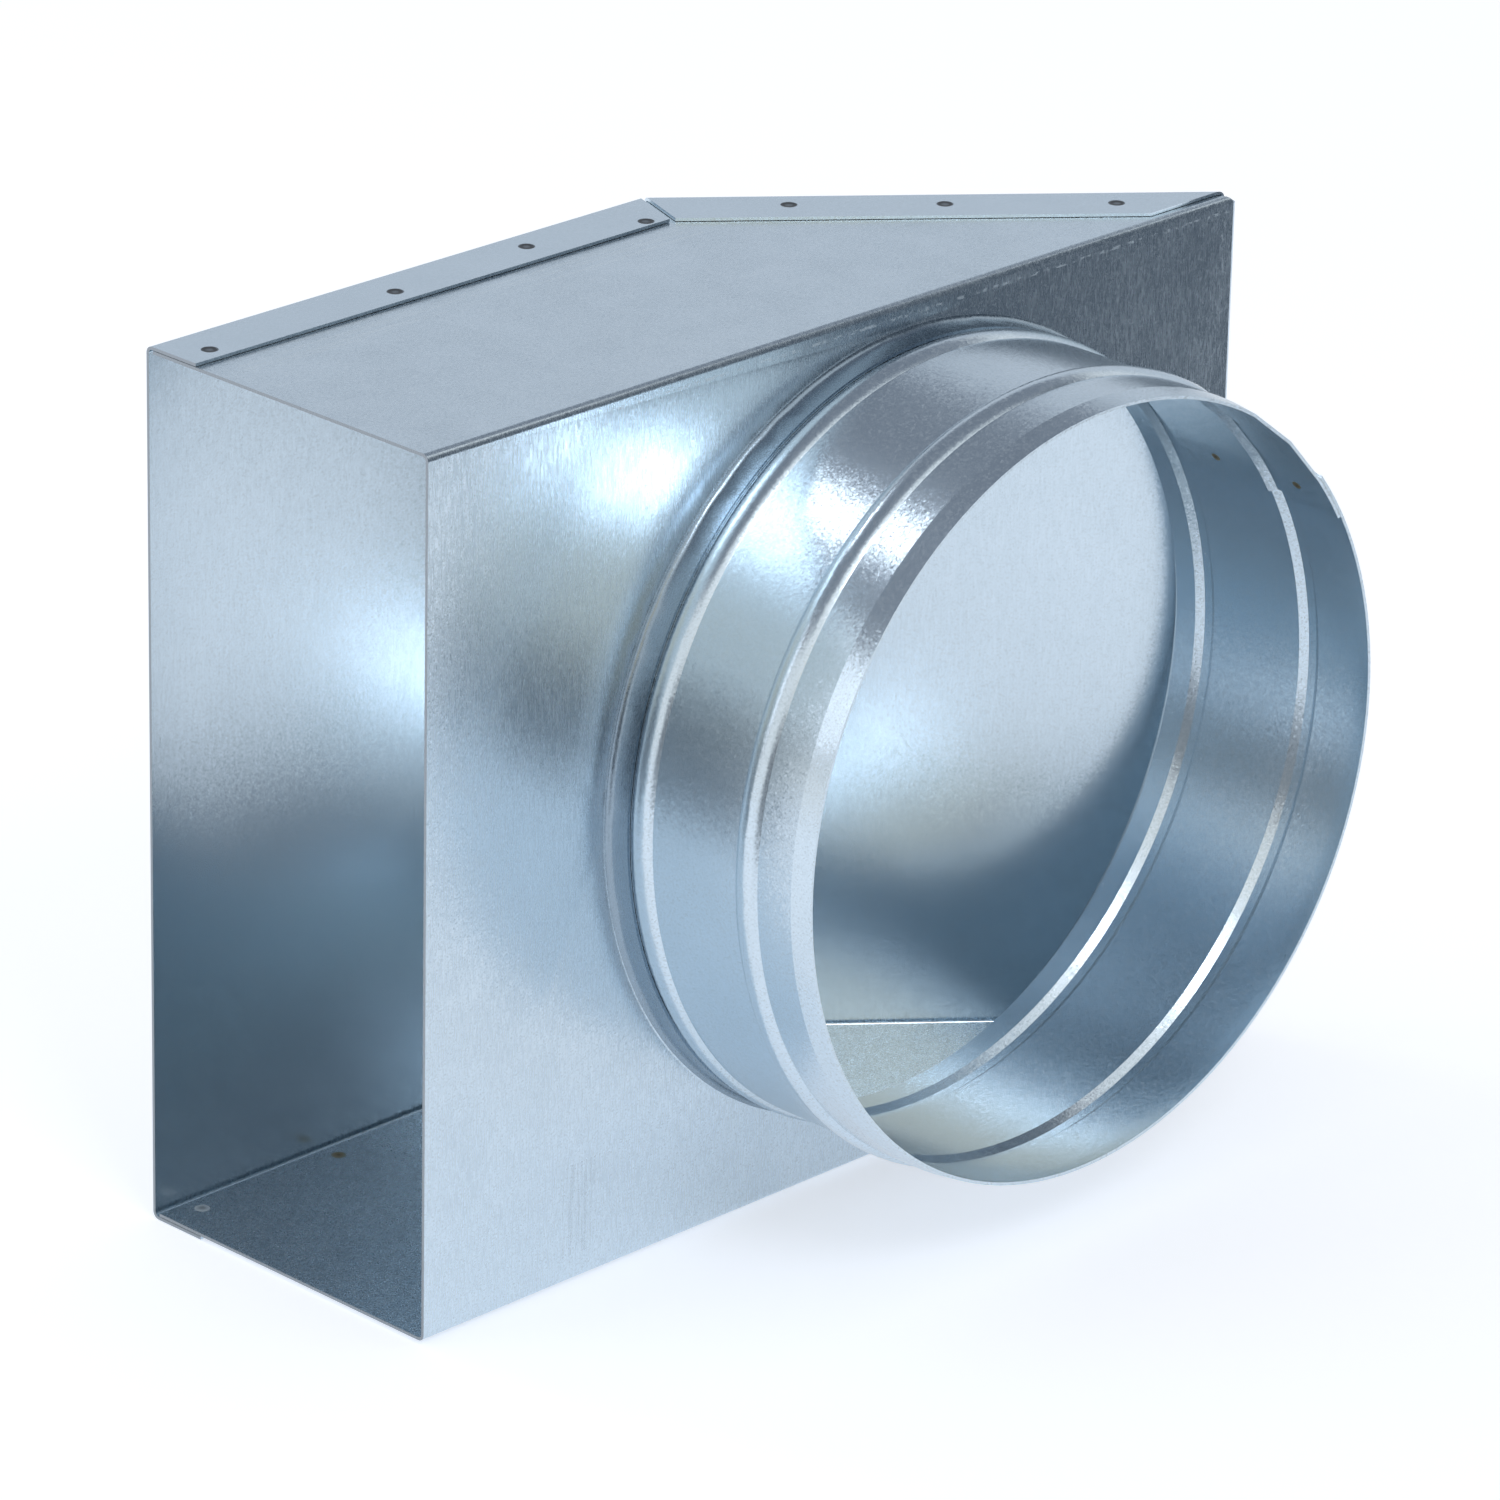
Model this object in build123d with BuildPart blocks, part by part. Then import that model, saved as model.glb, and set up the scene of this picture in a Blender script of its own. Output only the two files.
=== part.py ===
from build123d import *
import os
from math import cos, degrees, radians, sin, tan

os.makedirs("parts", exist_ok=True)

# Flat-to-round duct elbow in galvanised sheet steel, in millimetres.
# It stands on its lower flanges, with the round spigot towards -Y and the flat mouth towards -X.

# Sheet and folds
sheet = 0.6
bend_radius = 0.8  # inside of the folds
knee_radius = 2.4  # inside of the bend between the back and slanted walls
lap_gap = 0.1  # air between two lapped sheets
edge_gap = 0.3  # sheet edge to the fold or wall that it stops at

# Box
height = 170.0  # over the upper and lower flanges
depth = 72.5  # front plate to back wall, outside faces
back_length = 122.0  # flat mouth to the bend of the back wall
slant_angle = 40.0  # slanted wall to front plate
flange_width = 13.0  # flanges of the back and slanted walls
tip_flange = 13.0  # return of the front plate over the slanted wall
mitre_gap = 1.2  # slit between the two flanges at the bend

# Spot welds, as shallow dishes left by a domed electrode
weld_diameter = 3.4
electrode_radius = 8.0
top_back_welds = ((6.7, 9.2), (51.8, 8.6), (86.4, 6.5), (112.5, 11.0))  # from the mouth, in from the back
low_back_welds = ((7.3, 5.3), (41.2, 5.4), (77.0, 6.0), (110.0, 7.5))
slant_welds = ((27.0, 6.0), (56.0, 6.5), (88.0, 7.0))  # from the bend, in from the slanted wall
tip_welds = (20.0, 85.0, 150.0)  # up from the underside

# Spigot
spigot_diameter = 149.2  # plain band, outside
spigot_length = 49.3  # front plate to rim
spigot_setback = 119.5  # flat mouth to spigot axis
spigot_height = 88.0  # underside to spigot axis
neck_height = 5.0  # collar drawn out of the front plate
neck_bevel = 1.4  # turn from the front plate into the neck
lip_reach = 1.5  # flat of the locking lip behind the front plate
bead_width = 5.4
bead_height = 1.05
groove_width = 4.8  # hollow behind a bead
groove_bottom = 1.8
stop_bead_offset = 31.4  # front plate to the near foot of the stop bead
taper_length = 4.3
taper_inset = 0.6

# Lap seam of the spigot strip
seam_angle = 30.5  # end of the inner layer, up from the horizontal
lap_width = 11.0
lap_ramp = 26.0  # length over which the inner end steps in behind the outer one
ramp_steps = 2
seam_slit = 1.0  # notch between the base bead and the lapped part

# Places worked out from the sizes
slant = radians(slant_angle)
fold_outer = bend_radius + sheet
knee_outer = knee_radius + sheet
tip_corner = depth / tan(slant) + (sheet + lap_gap) / sin(slant)
tip_rounding = fold_outer / tan(slant / 2) - fold_outer
overall_length = back_length + tip_corner - tip_rounding
x_mouth = -overall_length / 2
x_bend = x_mouth + back_length
x_tip = x_bend + tip_corner
y_plate = (spigot_length - depth) / 2
y_back = y_plate + depth
y_toe = y_plate + sheet + bend_radius * (1 + cos(slant)) + edge_gap
z_panel = sheet + lap_gap
panel_inset = sheet + bend_radius + edge_gap
overrun = depth  # how far cutting shapes reach past the open sides
along_slant = Vector(cos(slant), -sin(slant), 0)
off_slant = Vector(-sin(slant), -cos(slant), 0)
electrode_rise = (electrode_radius**2 - weld_diameter**2 / 4) ** 0.5  # its centre above the sheet

spigot_centre = (x_mouth + spigot_setback, y_plate, spigot_height)
spigot_axis = Axis(spigot_centre, (0, -1, 0))
strip_radius = spigot_diameter / 2
neck_bore = strip_radius + lap_gap
neck_outer = neck_bore + sheet
neck_root = neck_outer + neck_bevel
base_bead_offset = neck_height + edge_gap
wrap_start = base_bead_offset + bead_width
stop_bead_end = stop_bead_offset + bead_width
taper_start = spigot_length - taper_length
joggle = sheet + lap_gap
lip_turn = joggle * tan(radians(45) / 2)  # shift of the bevel's corners from the neck to the lip behind it
lap_angle = degrees(lap_width / strip_radius)
ramp_angle = degrees(lap_ramp / strip_radius)
ramp_start = seam_angle + lap_angle + ramp_angle


def radial_plane(angle):
    """Plane through the spigot axis: x runs outwards, y runs away from the front plate."""
    outwards = Vector(cos(radians(angle)), 0, sin(radians(angle)))
    return Plane(spigot_centre, x_dir=outwards, z_dir=outwards.cross(Vector(0, -1, 0)))


def room(inset, x_start, y_end, z_low=0.0):
    """Plan of the space in front of the back and slanted walls, set in from their outside faces."""
    corner = (x_bend - inset * tan(slant / 2), y_back - inset)
    toe = (corner[0] + (corner[1] - y_end) / tan(slant), y_end)
    with BuildSketch(Plane.XY.offset(z_low)) as plan:
        with BuildLine():
            FilletPolyline((x_start, corner[1]), corner, toe, radius=max(knee_outer - inset, edge_gap))
            Polyline(toe, (x_start, y_end), (x_start, corner[1]))
        make_face()
    return plan.sketch


def folded_block(inset, x_start, y_end, radius):
    """Solid in front of the walls, with the upper and lower edges along the walls rounded."""
    with BuildPart() as solid:
        extrude(room(inset, x_start, y_end, inset), amount=height - 2 * inset)
        walls = solid.faces().filter_by(lambda face: face.normal_at().Y > 0.1)
        fillet(walls.edges().filter_by(Axis.Z, reverse=True), radius)
    return solid.part


# Back and slanted walls, one sheet with flanges lapped over the top and bottom panels
with BuildPart() as deflector_sheet:
    add(folded_block(0, x_mouth, y_toe, fold_outer))
    add(folded_block(sheet, x_mouth - overrun, y_toe - overrun, bend_radius), mode=Mode.SUBTRACT)
    extrude(room(flange_width, x_mouth - overrun, y_toe - overrun), amount=height, mode=Mode.SUBTRACT)
    into_corner = (-sin(slant / 2), -cos(slant / 2), 0)
    for level, inwards in ((height, -1), (0, 1)):
        with BuildSketch(Plane((x_bend, y_back, level), x_dir=into_corner, z_dir=(0, 0, inwards))):
            Rectangle(4 * flange_width, mitre_gap)
        extrude(amount=fold_outer + edge_gap, mode=Mode.SUBTRACT)
    bend_line = Vector(x_bend, y_back, 0)
    slant_spots = [bend_line + along_slant * along + off_slant * inset for along, inset in slant_welds]
    for level, back_welds in ((height + electrode_rise, top_back_welds), (-electrode_rise, low_back_welds)):
        back_spots = [Vector(x_mouth + along, y_back - inset, 0) for along, inset in back_welds]
        with Locations([spot + Vector(0, 0, level) for spot in back_spots + slant_spots]):
            Sphere(electrode_radius, rotation=(90, 0, 0), mode=Mode.SUBTRACT)

# Front plate with the top and bottom panels, the return flange at the tip and the drawn neck
with BuildPart() as front_shell:
    with BuildSketch(Plane.YZ.offset(x_mouth)):
        with BuildLine():
            z_upper = height - z_panel
            upper = ((y_back, z_upper), (y_plate, z_upper))
            lower = ((y_plate, z_panel), (y_back, z_panel))
            FilletPolyline(*upper, *lower, radius=fold_outer)
            offset(amount=sheet, side=Side.LEFT)
        make_face()
    extrude(amount=overall_length)
    extrude(room(panel_inset, x_mouth, y_plate), amount=height, mode=Mode.INTERSECT)
    z_relief = z_panel + fold_outer
    with BuildSketch(Plane.XY.offset(z_relief)):
        with BuildLine():
            tip = (x_tip, y_plate)
            flange_end = (x_tip - tip_flange * cos(slant), y_plate + tip_flange * sin(slant))
            FilletPolyline((x_tip - 2 * tip_flange, y_plate), tip, flange_end, radius=fold_outer)
            offset(amount=sheet, side=Side.LEFT)
        make_face()
    extrude(amount=height - 2 * z_relief)
    tip_row = Vector(*flange_end) + along_slant * (tip_flange / 2) - off_slant * electrode_rise
    with Locations([tip_row + Vector(0, 0, level) for level in tip_welds]):
        Sphere(electrode_radius, mode=Mode.SUBTRACT)
    with BuildSketch(Plane(spigot_centre, x_dir=(1, 0, 0), z_dir=(0, -1, 0))):
        Circle(neck_root)
    extrude(amount=sheet, both=True, mode=Mode.SUBTRACT)
    with BuildSketch(radial_plane(0)):
        with BuildLine():
            Polyline(
                (neck_root + sheet, 0), (neck_root, 0), (neck_outer, neck_bevel), (neck_outer, neck_height)
            )
            offset(amount=sheet, side=Side.LEFT, kind=Kind.INTERSECTION)
        make_face()
    revolve(axis=spigot_axis)


def bead(radius, offset_from_plate):
    """Rolled bead on a strip's section: a round crest outside and a hollow behind it."""
    middle = offset_from_plate + bead_width / 2
    inside = radius - sheet
    with BuildLine() as crest:
        top = (radius + bead_height, middle)
        arc = ThreePointArc((radius, middle - bead_width / 2), top, (radius, middle + bead_width / 2))
        Line(arc @ 1, arc @ 0)
    make_face(crest.edges())
    with BuildLine() as hollow:
        Polyline(
            (inside, middle - groove_width / 2),
            (inside + bead_height, middle - groove_bottom / 2),
            (inside + bead_height, middle + groove_bottom / 2),
            (inside, middle + groove_width / 2),
            close=True,
        )
    make_face(hollow.edges(), mode=Mode.SUBTRACT)


def wrap_section(angle, radius, start):
    """Section of the strip from a level past the base bead to the rim, at one angle."""
    with BuildSketch(radial_plane(angle)) as section:
        with BuildLine():
            Polyline((radius, start), (radius, taper_start), (radius - taper_inset, spigot_length))
            offset(amount=sheet, side=Side.LEFT, kind=Kind.INTERSECTION)
        make_face()
        bead(radius, stop_bead_offset)
    return section.sketch


# Rolled spigot strip, locked through the neck by its lip and its base bead.
# Past the base bead its inner end is joggled in behind the outer end and spot welded.
with BuildPart() as spigot_collar:
    with BuildSketch(radial_plane(0)):
        with BuildLine():
            Polyline(
                (neck_root + lip_reach, -joggle),
                (neck_root - lip_turn, -joggle),
                (strip_radius, neck_bevel - lip_turn),
                (strip_radius, wrap_start),
            )
            offset(amount=sheet, side=Side.LEFT, kind=Kind.INTERSECTION)
        make_face()
        bead(strip_radius, base_bead_offset)
    revolve(axis=spigot_axis)
    outer_layer = wrap_section(ramp_start, strip_radius, wrap_start)
    revolve(outer_layer, axis=spigot_axis, revolution_arc=360 - ramp_angle)
    ramp = []
    for step in range(ramp_steps + 1):
        share = step / ramp_steps
        drop = joggle * share * share * (3 - 2 * share)
        angle = ramp_start - ramp_angle * share
        ramp.append(wrap_section(angle, strip_radius - drop, wrap_start + seam_slit))
    loft(ramp, ruled=True)
    inner_layer = wrap_section(seam_angle, strip_radius - joggle, wrap_start + seam_slit)
    revolve(inner_layer, axis=spigot_axis, revolution_arc=lap_angle)
    weld_plane = radial_plane(seam_angle + lap_angle / 2)
    for plain_start, plain_end in ((wrap_start, stop_bead_offset), (stop_bead_end, taper_start)):
        nugget = weld_plane.from_local_coords((strip_radius - sheet / 2, (plain_start + plain_end) / 2))
        with BuildSketch(Plane(nugget, x_dir=(0, -1, 0), z_dir=weld_plane.x_dir)):
            Circle(weld_diameter / 2)
        extrude(amount=-joggle)

deflector_sheet.part.label = "deflector_sheet"
front_shell.part.label = "front_shell"
spigot_collar.part.label = "spigot_collar"

export_step(deflector_sheet.part, "parts/deflector_sheet.step")
export_step(front_shell.part, "parts/front_shell.step")
export_step(spigot_collar.part, "parts/spigot_collar.step")
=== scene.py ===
import math

import bpy
from mathutils import Matrix, Vector


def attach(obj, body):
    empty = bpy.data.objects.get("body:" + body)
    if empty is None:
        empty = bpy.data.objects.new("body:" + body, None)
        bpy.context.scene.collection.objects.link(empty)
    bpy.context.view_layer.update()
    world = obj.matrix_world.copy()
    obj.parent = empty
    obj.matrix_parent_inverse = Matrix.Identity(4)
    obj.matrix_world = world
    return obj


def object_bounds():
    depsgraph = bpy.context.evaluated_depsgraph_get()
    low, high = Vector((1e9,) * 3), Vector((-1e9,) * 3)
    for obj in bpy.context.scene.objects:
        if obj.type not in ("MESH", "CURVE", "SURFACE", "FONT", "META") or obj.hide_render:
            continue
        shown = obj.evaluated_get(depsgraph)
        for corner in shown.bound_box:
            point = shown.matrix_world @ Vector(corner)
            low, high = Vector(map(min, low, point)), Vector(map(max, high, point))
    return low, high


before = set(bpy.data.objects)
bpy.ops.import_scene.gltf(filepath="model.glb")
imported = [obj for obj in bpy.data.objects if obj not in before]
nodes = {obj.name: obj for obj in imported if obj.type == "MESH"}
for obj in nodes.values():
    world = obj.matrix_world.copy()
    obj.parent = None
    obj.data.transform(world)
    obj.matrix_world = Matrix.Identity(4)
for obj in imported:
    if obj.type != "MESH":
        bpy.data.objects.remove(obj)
cadLow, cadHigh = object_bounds()
mm = 0.001
print("frame loaded:", ", ".join(sorted(nodes)))

# Duct box, in mm: the outside from the frame, the rest as the sheets were cut
box = {
    "mouth": cadLow.x / mm,
    "back": cadHigh.y / mm,
    "top": cadHigh.z / mm,
    "depth": 72.5,
    "backLength": 122.0,
    "floor": 1.3,  # upper face of the bottom panel
    "slant": math.radians(40.0),
    "sheet": 0.6,
    "lapGap": 0.1,
}
box["bend"] = box["mouth"] + box["backLength"]
box["plate"] = box["back"] - box["depth"]
turnX, turnY = math.cos(box["slant"]), math.sin(box["slant"])

spigot = {"setback": 119.5, "height": 88.0, "radius": 74.6, "taperStart": 45.0}  # mm
spigotCentre = Vector((box["mouth"] + spigot["setback"], box["plate"], spigot["height"]))


def linear(hexColour):
    # sRGB hex to the linear colour that the shaders work in
    channels = [int(hexColour[i:i + 2], 16) / 255 for i in (1, 3, 5)]
    return tuple(c / 12.92 if c <= 0.04045 else ((c + 0.055) / 1.055) ** 2.4 for c in channels) + (1.0,)


def addNode(tree, kind, settings=None, inputs=None):
    node = tree.nodes.new(kind)
    for name, value in (settings or {}).items():
        setattr(node, name, value)
    for socket, value in (inputs or {}).items():
        if isinstance(value, bpy.types.NodeSocket):
            tree.links.new(value, node.inputs[socket])
        else:
            node.inputs[socket].default_value = value
    return node


def blankMaterial(name):
    material = bpy.data.materials.new(name)
    material.use_nodes = True
    material.node_tree.nodes.clear()
    return material, material.node_tree


# Galvanised steel: hot-dip zinc with a minimised spangle, skin passed, folded and rolled after coating.
# To the eye: blue-grey metal, blurred broad reflections, a fine sparkle of grains and faint rolling lines.
zinc = {
    "light": "#d1dfe9",
    "dark": "#c5d4de",
    "grainSize": 0.35,  # mm, drawn coarser than the real 0.1 mm grain so that it shows
    "grainHeight": 0.003,  # mm
    "crystalSize": 0.36,  # mm
    "crystalTilt": 0.045,  # slope at which the steepest crystals lean
    "dullShare": 0.26,  # matte part of the dullest crystals
    "dullRarity": 4.0,
    "mottleSize": 14.0,  # mm
    "mottleShare": 0.5,  # beside the grain, in colour and roughness
    "blendSpan": (0.4, 1.1),  # of grain and mottle together, from dark to light
    "waveSize": 60.0,  # mm, slack of the flat panels
    "waveHeight": 0.2,  # mm
    "sheared": "#939aa0",  # bare steel of the cut edges round the mouth
    "shearDepth": 0.022,  # mm
    "drawn": "#8fa0ae",  # painted shade, darker where the neck was drawn out of the plate
    "drawnStart": 0.3,  # mm in front of the plate
    "rubSpan": (0.5, 0.62),  # of the noise, from clean to fully rubbed
}


def galvanisedSteel(sheet):
    material, tree = blankMaterial(sheet["finish"])
    place = addNode(tree, "ShaderNodeTexCoord").outputs["Object"]
    spread = addNode(tree, "ShaderNodeSeparateXYZ", inputs={0: place})

    # grain along the rolling direction, crystals and soft mottling
    rolled = addNode(tree, "ShaderNodeMapping", inputs={"Vector": place, "Scale": sheet["rolling"]})
    grain = addNode(tree, "ShaderNodeTexNoise", inputs={
        "Vector": rolled.outputs["Vector"], "Scale": 1 / (zinc["grainSize"] * mm), "Detail": 2.0,
        "Roughness": 0.6})
    crystals = addNode(tree, "ShaderNodeTexVoronoi", inputs={
        "Vector": place, "Scale": 1 / (zinc["crystalSize"] * mm)})
    mottle = addNode(tree, "ShaderNodeTexNoise", inputs={
        "Vector": place, "Scale": 1 / (zinc["mottleSize"] * mm), "Detail": 5.0, "Roughness": 0.7})
    blend = addNode(tree, "ShaderNodeMath", {"operation": "MULTIPLY_ADD"}, {
        0: mottle.outputs["Fac"], 1: zinc["mottleShare"], 2: grain.outputs["Fac"]})
    share = addNode(tree, "ShaderNodeMapRange", inputs={
        "Value": blend.outputs["Value"], "From Min": zinc["blendSpan"][0], "From Max": zinc["blendSpan"][1]})

    # colour of the zinc and the cut edges, and painted shade on the drawn neck
    colour = addNode(tree, "ShaderNodeMix", {"data_type": "RGBA"}, {
        0: share.outputs["Result"], 6: linear(zinc["dark"]), 7: linear(zinc["light"])})
    patches = [("X", box["mouth"] + zinc["shearDepth"], zinc["sheared"])]
    if sheet["worked"]:  # only the front sheet has the painted shade on its drawn neck and the rubbed places
        patches.append(("Y", box["plate"] - zinc["drawnStart"], zinc["drawn"]))
    for axis, limit, shade in patches:
        within = addNode(tree, "ShaderNodeMath", {"operation": "LESS_THAN"}, {
            0: spread.outputs[axis], 1: limit * mm})
        colour = addNode(tree, "ShaderNodeMix", {"data_type": "RGBA"}, {
            0: within.outputs[0], 6: colour.outputs[2], 7: linear(shade)})
    roughness = addNode(tree, "ShaderNodeMapRange", inputs={
        "Value": share.outputs["Result"], "To Min": sheet["rough"][1], "To Max": sheet["rough"][0]})

    # slack of the sheet, height of the grain, lean of the odd crystal
    wave = addNode(tree, "ShaderNodeTexNoise", inputs={
        "Vector": place, "Scale": 1 / (zinc["waveSize"] * mm), "Detail": 1.0, "Roughness": 0.4})
    waveBump = addNode(tree, "ShaderNodeBump", inputs={
        "Height": wave.outputs["Fac"], "Strength": sheet["wave"], "Distance": zinc["waveHeight"] * mm})
    grainBump = addNode(tree, "ShaderNodeBump", inputs={
        "Height": grain.outputs["Fac"], "Strength": 1.0, "Distance": zinc["grainHeight"] * mm,
        "Normal": waveBump.outputs["Normal"]})
    lean = addNode(tree, "ShaderNodeVectorMath", {"operation": "SUBTRACT"}, {
        0: crystals.outputs["Color"], 1: (0.5, 0.5, 0.5)}).outputs[0]
    square = addNode(tree, "ShaderNodeVectorMath", {"operation": "MULTIPLY"}, {0: lean, 1: lean})
    cube = addNode(tree, "ShaderNodeVectorMath", {"operation": "MULTIPLY"}, {0: square.outputs[0], 1: lean})
    steepest = zinc["crystalTilt"] * sheet["sparkle"] / 0.5 ** 3
    facet = addNode(tree, "ShaderNodeVectorMath", {"operation": "MULTIPLY_ADD"}, {
        0: cube.outputs[0], 1: (steepest,) * 3, 2: grainBump.outputs["Normal"]})
    facet = addNode(tree, "ShaderNodeVectorMath", {"operation": "NORMALIZE"}, {0: facet.outputs[0]})

    # dull crystals and rubbed places are less metallic
    chance = addNode(tree, "ShaderNodeSeparateColor", inputs={"Color": crystals.outputs["Color"]})
    dull = addNode(tree, "ShaderNodeMath", {"operation": "POWER"}, {
        0: chance.outputs["Red"], 1: zinc["dullRarity"]})
    shine = addNode(tree, "ShaderNodeMath", {"operation": "MULTIPLY_ADD"}, {
        0: dull.outputs[0], 1: -zinc["dullShare"] * sheet["sparkle"], 2: 1.0})
    for rub in sheet["worked"]:
        dashes = addNode(tree, "ShaderNodeMapping", inputs={"Vector": place, "Scale": rub["stretch"]})
        dashes = addNode(tree, "ShaderNodeTexNoise", inputs={
            "Vector": dashes.outputs[0], "Scale": 1 / (rub["grain"] * mm), "Detail": 2.0})
        strength = addNode(tree, "ShaderNodeMapRange", inputs={
            "Value": dashes.outputs["Fac"], "From Min": zinc["rubSpan"][0], "From Max": zinc["rubSpan"][1],
            "To Max": rub["matte"]})
        for axis, (low, high) in rub["between"].items():
            across = addNode(tree, "ShaderNodeMath", {"operation": "COMPARE"}, {
                0: spread.outputs[axis], 1: (low + high) / 2 * mm, 2: (high - low) / 2 * mm})
            strength = addNode(tree, "ShaderNodeMath", {"operation": "MULTIPLY"}, {
                0: strength.outputs[0], 1: across.outputs[0]})
        shine = addNode(tree, "ShaderNodeMath", {"operation": "SUBTRACT"}, {
            0: shine.outputs[0], 1: strength.outputs[0]})

    metal = addNode(tree, "ShaderNodeBsdfPrincipled", inputs={
        "Base Color": colour.outputs[2], "Metallic": shine.outputs[0],
        "Roughness": roughness.outputs["Result"], "Normal": facet.outputs[0]})
    addNode(tree, "ShaderNodeOutputMaterial", inputs={"Surface": metal.outputs["BSDF"]})
    return material


folds = {"joinReach": 0.001, "creaseReach": 0.02}  # mm


def smoothFolds(piece, angle, crease):
    # joins the faces that the frame keeps apart, then rounds the shading over folds and beads
    weld = piece.modifiers.new("joinFaces", "WELD")
    weld.merge_threshold = folds["joinReach"] * mm
    group = bpy.data.node_groups.new(piece.name + "Shading", "GeometryNodeTree")
    for side in ("INPUT", "OUTPUT"):
        group.interface.new_socket("Geometry", in_out=side, socket_type="NodeSocketGeometry")
    shape = addNode(group, "NodeGroupInput").outputs[0]
    turn = addNode(group, "GeometryNodeInputMeshEdgeAngle").outputs["Unsigned Angle"]
    gentle = addNode(group, "FunctionNodeCompare", {"operation": "LESS_THAN"}, {
        0: turn, 1: math.radians(angle)})
    if crease is not None:
        place = addNode(group, "GeometryNodeInputPosition").outputs[0]
        level = addNode(group, "ShaderNodeSeparateXYZ", inputs={0: place}).outputs["Y"]
        apart = addNode(group, "FunctionNodeCompare", {"operation": "NOT_EQUAL"}, {
            0: level, 1: crease * mm, "Epsilon": folds["creaseReach"] * mm})
        gentle = addNode(group, "FunctionNodeBooleanMath", {"operation": "AND"}, {
            0: gentle.outputs["Result"], 1: apart.outputs["Result"]})
    faces = addNode(group, "GeometryNodeSetShadeSmooth", {"domain": "FACE"}, {"Geometry": shape})
    edges = addNode(group, "GeometryNodeSetShadeSmooth", {"domain": "EDGE"}, {
        "Geometry": faces.outputs[0], "Shade Smooth": gentle.outputs[0]})
    addNode(group, "NodeGroupOutput", inputs={0: edges.outputs[0]})
    piece.modifiers.new("smoothFolds", "NODES").node_group = group
    flats = piece.modifiers.new("keepFlats", "WEIGHTED_NORMAL")
    flats.keep_sharp = True


rubbed = (  # where folding and handling have left the front sheet matte, mm
    {"stretch": (0.5, 1.0, 1.0), "grain": 0.7, "matte": 0.45,  # bite of the folding tool under the top fold
     "between": {"X": (-60.0, 103.0), "Y": (-12.0, -11.3), "Z": (166.3, 166.9)}},
    {"stretch": (1.0, 1.0, 0.4), "grain": 0.8, "matte": 0.3,  # and beside the tip
     "between": {"X": (99.2, 100.2), "Y": (-12.0, -11.3), "Z": (4.0, 165.0)}},
    {"stretch": (0.011, 1.0, 1.0), "grain": 0.5, "matte": 0.26,  # scuffs along the flange on the top panel
     "between": {"X": (-98.0, 14.0), "Y": (39.0, 47.0), "Z": (169.0, 169.6)}},
    {"stretch": (1.0, 1.0, 0.05), "grain": 0.6, "matte": 0.3,  # scratches low on the plate
     "between": {"X": (-70.0, -60.0), "Y": (-12.0, -11.3), "Z": (6.0, 24.0)}},
)
# rolling: how the grain runs, as scale factors along x, y and z
# rough: roughness of the palest and of the darkest grain
# wave: share of the slack; sparkle: share of leaning and dull crystals
# smooth: turn in degrees below which shading is rounded; crease: level along Y that stays sharp, in mm
frontSheet = {
    "finish": "galvanisedSteelFront", "rolling": (1.0, 1.0, 0.1), "rough": (0.13, 0.38), "wave": 1.0,
    "sparkle": 0.7, "worked": rubbed, "smooth": 50.0, "crease": None,
}
backSheet = {
    "finish": "galvanisedSteelBack", "rolling": (1.0, 1.0, 0.1), "rough": (0.235, 0.255), "wave": 1.0,
    "sparkle": 0.4, "worked": (), "smooth": 50.0, "crease": None,
}
collarStrip = {
    "finish": "galvanisedSteelCollar", "rolling": (1.0, 0.5, 1.0), "rough": (0.21, 0.28), "wave": 0.5,
    "sparkle": 0.9, "worked": (), "smooth": 32.0, "crease": box["plate"] - spigot["taperStart"],
}
sheets = {"front_shell": frontSheet, "deflector_sheet": backSheet, "spigot_collar": collarStrip}
for name, sheet in sheets.items():
    nodes[name].data.materials.clear()
    nodes[name].data.materials.append(galvanisedSteel(sheet))
    smoothFolds(nodes[name], sheet["smooth"], sheet["crease"])
print("sheets dressed")

# Scorched zinc: the blued and browned skin that a spot welder's copper tip leaves.
# To the eye: a dark ring with a paler middle, dull beside the bright sheet. The far side of a weld is
# pressed and hardly burnt, so it stays pale. Where the zinc burnt away, the steel has rusted.
scorch = {  # shades from the middle of a mark to its rim
    "rings": ((0.0, "#7f868c"), (0.35, "#6b7278"), (0.55, "#45494d"), (0.85, "#53575b"), (1.0, "#8d979e")),
    "pale": ((0.0, "#8d959b"), (0.3, "#9aa3a9"), (0.6, "#c9d2d8"), (0.85, "#dfe6ea"), (1.0, "#aab5bd")),
    "rusty": ((0.0, "#2e2a26"), (0.25, "#7a6a4c"), (0.55, "#8c8467"), (0.8, "#8f9388"), (1.0, "#aab5bc")),
    "roughness": 0.45,
    "breakUp": 1.1,  # mm
    "unevenness": 0.5,
}


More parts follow.
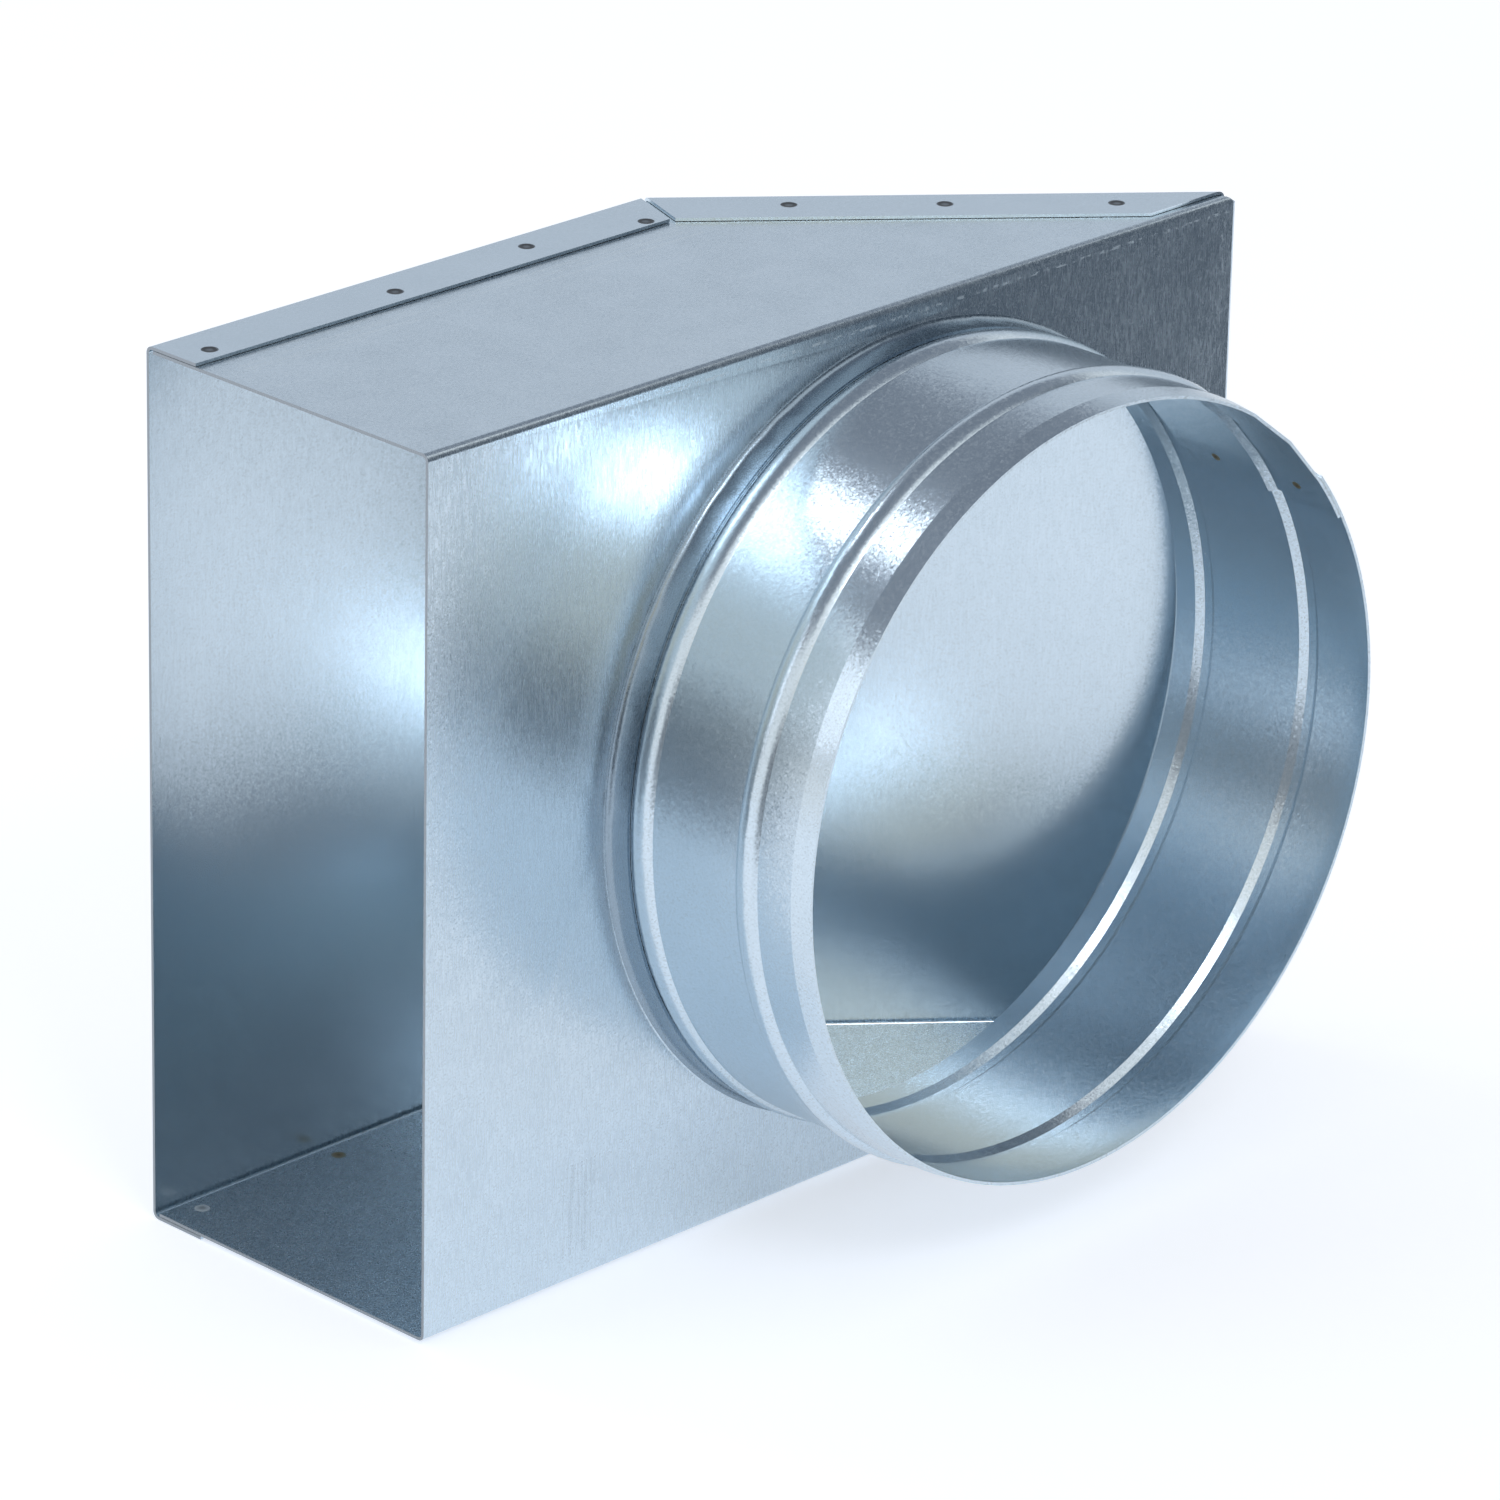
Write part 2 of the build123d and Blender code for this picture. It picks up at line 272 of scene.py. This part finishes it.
def scorchedZinc(name, rings, shine):
    material, tree = blankMaterial(name)
    spot = addNode(tree, "ShaderNodeTexCoord")
    patches = addNode(tree, "ShaderNodeTexNoise", inputs={
        "Vector": spot.outputs["Object"], "Scale": 1 / (scorch["breakUp"] * mm), "Detail": 3.0})
    away = addNode(tree, "ShaderNodeSeparateXYZ", inputs={0: spot.outputs["UV"]})
    uneven = addNode(tree, "ShaderNodeMath", {"operation": "MULTIPLY_ADD"}, {
        0: patches.outputs["Fac"], 1: scorch["unevenness"], 2: away.outputs["X"]})
    radius = addNode(tree, "ShaderNodeMath", {"operation": "SUBTRACT"}, {
        0: uneven.outputs[0], 1: scorch["unevenness"] / 2})
    ramp = addNode(tree, "ShaderNodeValToRGB", inputs={0: radius.outputs[0]})
    stops = ramp.color_ramp.elements
    stops[0].color, stops[1].color = linear(rings[0][1]), linear(rings[-1][1])
    for position, shade in rings[1:-1]:
        stops.new(position).color = linear(shade)
    metal = addNode(tree, "ShaderNodeBsdfPrincipled", inputs={
        "Base Color": ramp.outputs["Color"], "Metallic": shine, "Roughness": scorch["roughness"]})
    addNode(tree, "ShaderNodeOutputMaterial", inputs={"Surface": metal.outputs["BSDF"]})
    return material


def weldMarks(name, spots, material, size, dish, sides=28, hoops=7):
    # spots: place on the sheet, in mm, and outward direction; each mark is a shallow cup or bulge
    vertices, faces, across = [], [], []
    for place, outward in spots:
        normal = Vector(outward).normalized()
        side = normal.orthogonal().normalized()
        other = normal.cross(side)
        first = len(vertices)
        for hoop in range(hoops + 1):
            radius = size / 2 * hoop / hoops
            lift = dish["lift"] - dish["depth"] * (1 - (hoop / hoops) ** 2)
            for turn in range(sides if hoop else 1):
                angle = 2 * math.pi * turn / sides
                spoke = side * math.cos(angle) + other * math.sin(angle)
                vertices.append((Vector(place) + spoke * radius + normal * lift) * mm)
                across.append(hoop / hoops)
        for turn in range(sides):
            after = (turn + 1) % sides
            faces.append((first, first + 1 + turn, first + 1 + after))
            for hoop in range(hoops - 1):
                inner, outer = first + 1 + hoop * sides, first + 1 + (hoop + 1) * sides
                faces.append((inner + turn, outer + turn, outer + after, inner + after))
    mesh = bpy.data.meshes.new(name)
    mesh.from_pydata(vertices, [], faces)
    rings = mesh.uv_layers.new(name="rings")
    for loop in mesh.loops:
        rings.data[loop.index].uv = (across[loop.vertex_index], 0.5)
    mesh.shade_smooth()
    mesh.materials.append(material)
    piece = bpy.data.objects.new(name, mesh)
    bpy.context.scene.collection.objects.link(piece)
    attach(piece, "root")


welds = {  # mm, in from the mouth or the bend and from the wall beside the flange
    "topBack": ((6.7, 9.2), (51.8, 8.6), (86.4, 6.5), (112.5, 11.0)),
    "lowBack": ((7.3, 5.3), (41.2, 5.4), (77.0, 6.0), (110.0, 7.5)),
    "slant": ((27.0, 6.0), (56.0, 6.5), (88.0, 7.0)),
    "tip": (20.0, 85.0, 150.0),  # up from the underside, on the return flange at the tip
    "tipInset": 6.5,
    "size": 3.2,
    "dish": {"lift": -0.015, "depth": 0.07},
    "pressed": {"lift": -0.01, "depth": -0.06},  # the low bulge on the far side of a weld
}
slantSpots = [
    (box["bend"] + along * turnX - inset * turnY, box["back"] - along * turnY - inset * turnX)
    for along, inset in welds["slant"]]
topSpots = [(box["mouth"] + along, box["back"] - inset) for along, inset in welds["topBack"]] + slantSpots
lowSpots = [(box["mouth"] + along, box["back"] - inset) for along, inset in welds["lowBack"]]
tipEnd = box["bend"] + (box["depth"] * turnX + box["sheet"] + box["lapGap"]) / turnY
tipRow = (tipEnd - welds["tipInset"] * turnX, box["plate"] + welds["tipInset"] * turnY)
flangeMarks = [((x, y, box["top"]), (0, 0, 1)) for x, y in topSpots]
flangeMarks += [((x, y, 0.0), (0, 0, -1)) for x, y in lowSpots + slantSpots]
flangeMarks += [((*tipRow, z), (turnY, turnX, 0)) for z in welds["tip"]]
floorMarks = [((x, y, box["floor"]), (0, 0, 1)) for x, y in lowSpots]
rusted = floorMarks.pop(1)  # the second mark on the floor has rusted

# Two welds on the collar's lap seam, seen from both sides: levels in front of the plate, in mm
lap = {"angle": math.radians(34.7), "levels": (21.05, 40.9), "inside": 73.3, "size": 2.8}
outwards = Vector((math.cos(lap["angle"]), 0.0, math.sin(lap["angle"])))
lapMarks = []
for level in lap["levels"]:
    ring = spigotCentre - Vector((0.0, level, 0.0))
    lapMarks.append((ring + outwards * lap["inside"], -outwards))
    lapMarks.append((ring + outwards * spigot["radius"], outwards))

scorched = scorchedZinc("scorchedZinc", scorch["rings"], 1.0)
pressed = scorchedZinc("pressedZinc", scorch["pale"], 0.6)
rusty = scorchedZinc("rustedZinc", scorch["rusty"], 0.5)
weldMarks("flangeWelds", flangeMarks, scorched, welds["size"], welds["dish"])
weldMarks("floorWelds", floorMarks, pressed, welds["size"], welds["pressed"])
weldMarks("rustedWeld", [rusted], rusty, welds["size"], welds["pressed"])
weldMarks("lapWelds", lapMarks, rusty, lap["size"], welds["pressed"])
print("weld marks made")

# Studio: pale floor, white surroundings, soft lamps and grey cards
studio = {
    "floor": "#e0e5ee",
    "floorGlow": 0.49,
    "floorSize": 30.0,
    "floorDrop": 0.2,  # mm
    "lampTint": "#f6f9ff",
    "ambient": 0.56,
}


def seenRays(tree):
    # 1 for what the camera sees, straight or in metal and glass, and 0 for diffuse light
    rays = addNode(tree, "ShaderNodeLightPath").outputs
    seen = rays["Is Camera Ray"]
    for kind in ("Is Glossy Ray", "Is Transmission Ray"):
        seen = addNode(tree, "ShaderNodeMath", {"operation": "ADD", "use_clamp": True}, {
            0: seen, 1: rays[kind]}).outputs[0]
    return seen


bpy.ops.mesh.primitive_plane_add(size=studio["floorSize"], location=(0, 0, -studio["floorDrop"] * mm))
floor = bpy.context.object
floor.name = "floor"
paper, tree = blankMaterial("paleFloor")
matte = addNode(tree, "ShaderNodeBsdfDiffuse", inputs={"Color": linear(studio["floor"])})
glowLevel = addNode(tree, "ShaderNodeMath", {"operation": "MULTIPLY"}, {
    0: seenRays(tree), 1: studio["floorGlow"]})
glow = addNode(tree, "ShaderNodeEmission", inputs={"Strength": glowLevel.outputs[0]})
both = addNode(tree, "ShaderNodeAddShader", inputs={0: matte.outputs[0], 1: glow.outputs[0]})
addNode(tree, "ShaderNodeOutputMaterial", inputs={"Surface": both.outputs[0]})
floor.data.materials.append(paper)

world = bpy.data.worlds.new("whiteStudio")
world.use_nodes = True
bpy.context.scene.world = world
tree = world.node_tree
tree.nodes.clear()
level = addNode(tree, "ShaderNodeMapRange", inputs={
    "Value": seenRays(tree), "To Min": studio["ambient"], "To Max": 1.0})
sky = addNode(tree, "ShaderNodeBackground", inputs={
    "Color": linear("#ffffff"), "Strength": level.outputs["Result"]})
addNode(tree, "ShaderNodeOutputWorld", inputs={"Surface": sky.outputs[0]})

middle = (cadLow + cadHigh) / 2
lampDistance = 1.5  # m
lamps = {  # direction from the object, width and height in m, brightness of the face
    "keyLamp": {"towards": (-0.27, -0.65, 0.7), "size": (0.5, 0.42), "level": 4.4},
    "collarLamp": {"towards": (-0.17, 0.65, 0.74), "size": (0.28, 0.22), "level": 4.6},
    "leftLamp": {"towards": (-0.76, 0.5, 0.43), "size": (0.9, 0.68), "level": 1.25},
}
for name, lamp in lamps.items():
    light = bpy.data.lights.new(name, "AREA")
    light.shape = "RECTANGLE"
    width, height = lamp["size"]
    light.size, light.size_y = width, height
    light.color = linear(studio["lampTint"])[:3]
    light.energy = lamp["level"] * 4 * width * height  # a lamp's face shines with energy / (4 x area)
    holder = bpy.data.objects.new(name, light)
    bpy.context.scene.collection.objects.link(holder)
    towards = Vector(lamp["towards"]).normalized()
    holder.location = middle + towards * lampDistance
    holder.rotation_euler = towards.to_track_quat("Z", "Y").to_euler()

# Cards that only reflections see: place in m, direction of the face, width and height in m.
# They stand for the darker and warmer parts of the room, one backs the left lamp, and one lies on the floor
# as painted shade in front of the object.
cards = {
    "ceilingCard": {
        "place": (0.0, 0.8, 1.5), "facing": (0, 0, -1), "size": (3.4, 2.6), "shade": "#858b96"},
    "backCard": {
        "place": (1.4, 1.3, 0.6), "facing": (-0.72, -0.69, 0), "size": (3.4, 1.7), "shade": "#d3d9e2"},
    "rightCard": {
        "place": (0.27, -0.6, 0.25), "facing": (-1, 0, 0), "size": (1.0, 0.5), "shade": "#5a626c"},
    "leftCard": {
        "place": (-1.75, -1.45, 0.32), "facing": (0.78, 0.62, 0), "size": (1.6, 0.64), "shade": "#646a72"},
    # painted shade of the floor in front of the object: a dark sheet that only reflections see
    "floorShadeCard": {
        "place": (-1.02, -0.94, 0.001), "facing": (0, 0, 1), "size": (1.5, 1.44), "shade": "#7c828a"},
    "lampCard": {
        "place": (-1.156, 0.76, 0.739), "facing": (0.76, -0.5, -0.43), "size": (1.05, 0.85),
        "shade": "#2a2c30"},
    "warmCard": {
        "place": (-1.1, -1.75, 0.75), "facing": (0.52, 0.76, 0), "size": (0.9, 1.1), "shade": "#fff0d8"},
}
for name, card in cards.items():
    bpy.ops.mesh.primitive_plane_add(size=1.0, location=card["place"])
    panel = bpy.context.object
    panel.name = name
    panel.scale = (*card["size"], 1.0)
    panel.rotation_euler = Vector(card["facing"]).to_track_quat("Z", "Y").to_euler()
    panel.visible_camera = panel.visible_diffuse = panel.visible_shadow = False
    face, tree = blankMaterial(name)
    even = addNode(tree, "ShaderNodeEmission", inputs={"Color": linear(card["shade"])})
    addNode(tree, "ShaderNodeOutputMaterial", inputs={"Surface": even.outputs[0]})
    panel.data.materials.append(face)
print("studio lit")

# Camera of the photograph: position and aim in metres, long lens, a slight roll
view = {
    "place": (-1.0414, -1.0083, 0.6809),
    "aim": (0.6604, 0.6467, -0.3817),
    "up": (0.258, 0.282, 0.9241),
    "lens": 205.3,
    "sensor": 36.0,
    "nearest": 0.01,
}
lens = bpy.data.cameras.new("camera")
lens.lens = view["lens"]
lens.sensor_width = view["sensor"]
lens.clip_start = view["nearest"]
camera = bpy.data.objects.new("camera", lens)
bpy.context.scene.collection.objects.link(camera)
back = -Vector(view["aim"]).normalized()
right = Vector(view["up"]).cross(back).normalized()
up = back.cross(right)
camera.matrix_world = Matrix.Translation(view["place"]) @ Matrix((right, up, back)).transposed().to_4x4()
bpy.context.scene.camera = camera
bpy.context.scene.view_settings.view_transform = "Standard"
print("camera set")
